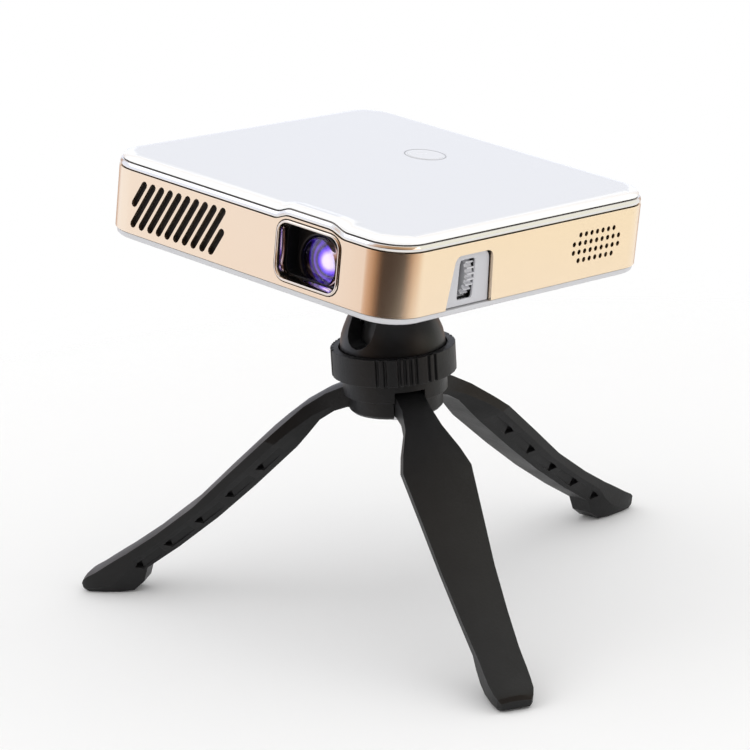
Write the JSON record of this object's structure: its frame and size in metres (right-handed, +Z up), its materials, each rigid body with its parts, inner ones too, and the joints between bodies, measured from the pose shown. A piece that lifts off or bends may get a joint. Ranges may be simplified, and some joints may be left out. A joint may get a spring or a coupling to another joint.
{
  "type": "pocket projector on mini tripod",
  "caption": "Square pocket projector with a gold band, white top, lens window and side focus wheel, on a black mini ball-head tripod with folding legs.",
  "frame": {"origin": "centre of the footprint of the whole object, on the surface the tripod stands on", "axes": "+Z up, -Y the way the lens points (the projector leans a little on its ball head), +X towards the side with the focus wheel"},
  "size_m": [0.1752, 0.1534, 0.1371],
  "materials": {
    "white_gloss": "glossy white moulding",
    "gold": "satin champagne-gold finish",
    "chrome": "bright plated trim",
    "grey_plastic": "satin light grey moulding",
    "black_plastic": "satin black moulding",
    "matt_black": "matt black, light-absorbing",
    "lens_glass": "coated glass",
    "steel": "plated steel",
    "nylon": "natural nylon",
    "brass": "machined brass",
    "engine_casting": "dull casting, mostly hollow inside",
    "aluminium": "milled aluminium",
    "battery_wrap": "wrapped cell, as heavy as a lithium cell",
    "circuit_board": "green circuit board",
    "rubber": "matt black rubber",
    "tripod_plastic": "textured black moulding",
    "tripod_satin": "satin black moulding"
  },
  "bodies": {
    "hub": {"tripod_hub": "tripod_plastic", "ball_seat": "nylon", "hub_cap": "tripod_satin", "hub_screw": "steel", "leg_pin_1": "steel", "leg_pin_2": "steel", "leg_pin_3": "steel"},
    "leg_one": {"leg_1": "tripod_plastic"},
    "leg_two": {"leg_2": "tripod_plastic"},
    "leg_three": {"leg_3": "tripod_plastic"},
    "ring": {"lock_ring": "tripod_plastic"},
    "head": {"ball_dome": "tripod_satin"},
    "ball": {"ball_stem": "tripod_satin", "rubber_pad": "rubber", "mount_stud": "steel"},
    "projector": {"top_cover": "white_gloss", "side_band": "gold", "trim_ring": "chrome", "lens_bezel": "chrome", "bottom_tray": "grey_plastic", "focus_bezel": "grey_plastic", "fan_housing": "black_plastic", "speaker": "black_plastic", "audio_jack": "black_plastic", "power_jack": "black_plastic", "rear_panel": "black_plastic", "lens_hood": "matt_black", "speaker_mesh": "matt_black", "gear_bracket": "steel", "focus_axle": "steel", "idler_axle": "steel", "case_screw_1": "steel", "case_screw_2": "steel", "case_screw_3": "steel", "case_screw_4": "steel", "hdmi_socket": "steel", "usb_socket": "steel", "tripod_insert": "brass", "optical_engine": "engine_casting", "led_module": "aluminium", "heat_sink": "aluminium", "battery_pack": "battery_wrap", "main_board": "circuit_board", "touch_board": "circuit_board", "rubber_foot_1": "rubber", "rubber_foot_2": "rubber", "rubber_foot_3": "rubber", "rubber_foot_4": "rubber"},
    "wheel": {"focus_wheel": "grey_plastic"},
    "idler": {"idler_gear": "nylon"},
    "barrel": {"focus_ring": "brass", "lens_barrel": "matt_black", "front_lens": "lens_glass"},
    "rotor": {"fan_rotor": "black_plastic"},
    "button": {"power_button": "black_plastic"}
  },
  "joints": [
    {"name": "leg_fold_1", "type": "hinge", "parent": "hub", "child": "leg_one", "pos_m": [-0.00823, -0.02688, 0.0617], "axis": [0.5, -0.866, 0], "range_deg": [0, 52]},
    {"name": "leg_fold_2", "type": "hinge", "parent": "hub", "child": "leg_two", "pos_m": [0.00823, -0.02688, 0.0617], "axis": [0.5, 0.866, 0], "range_deg": [0, 52]},
    {"name": "leg_fold_3", "type": "hinge", "parent": "hub", "child": "leg_three", "pos_m": [0, -0.01263, 0.0617], "axis": [-1, 0, 0], "range_deg": [0, 52]},
    {"name": "ring_turn", "type": "hinge", "parent": "hub", "child": "ring", "pos_m": [0, -0.02213, 0.0781], "axis": [0, 0, 1], "range_deg": [0, 120]},
    {"name": "head_pan", "type": "hinge", "parent": "hub", "child": "head", "pos_m": [0, -0.02213, 0.0781], "axis": [0, 0, 1], "range_deg": [-180, 180]},
    {"name": "ball_tilt", "type": "hinge", "parent": "head", "child": "ball", "pos_m": [0, -0.02213, 0.0781], "axis": [0.9909, -0.0672, -0.1164], "range_deg": [-24, 60]},
    {"name": "projector_turn", "type": "hinge", "parent": "ball", "child": "projector", "pos_m": [0, -0.02213, 0.0781], "axis": [0.1219, 0.0848, 0.9889], "range_deg": [-180, 180]},
    {"name": "focus_wheel_turn", "type": "hinge", "parent": "projector", "child": "wheel", "pos_m": [0.04276, -0.04285, 0.10919], "axis": [-0.0282, 0.9962, -0.0819], "range_deg": [-120, 120]},
    {"name": "idler_turn", "type": "hinge", "parent": "projector", "child": "idler", "pos_m": [0.0311, -0.04306, 0.11064], "axis": [-0.0282, 0.9962, -0.0819], "range_deg": [-212, 212]},
    {"name": "focus_ring_turn", "type": "hinge", "parent": "projector", "child": "barrel", "pos_m": [0.01944, -0.04327, 0.1121], "axis": [-0.0282, 0.9962, -0.0819], "range_deg": [-120.5, 120.5]},
    {"name": "fan_spin", "type": "hinge", "parent": "projector", "child": "rotor", "pos_m": [-0.03163, -0.03788, 0.11713], "axis": [0.1219, 0.0848, 0.9889], "continuous": true},
    {"name": "power_button_press", "type": "slide", "parent": "projector", "child": "button", "axis": [0.0282, -0.9962, 0.0819], "range_m": [0, 0.0012], "stiffness_N_per_m": 400}
  ],
  "couplings": [
    {"joint": "idler_turn", "follows": "focus_wheel_turn", "ratio": -1.7647},
    {"joint": "focus_ring_turn", "follows": "focus_wheel_turn", "ratio": 1}
  ]
}
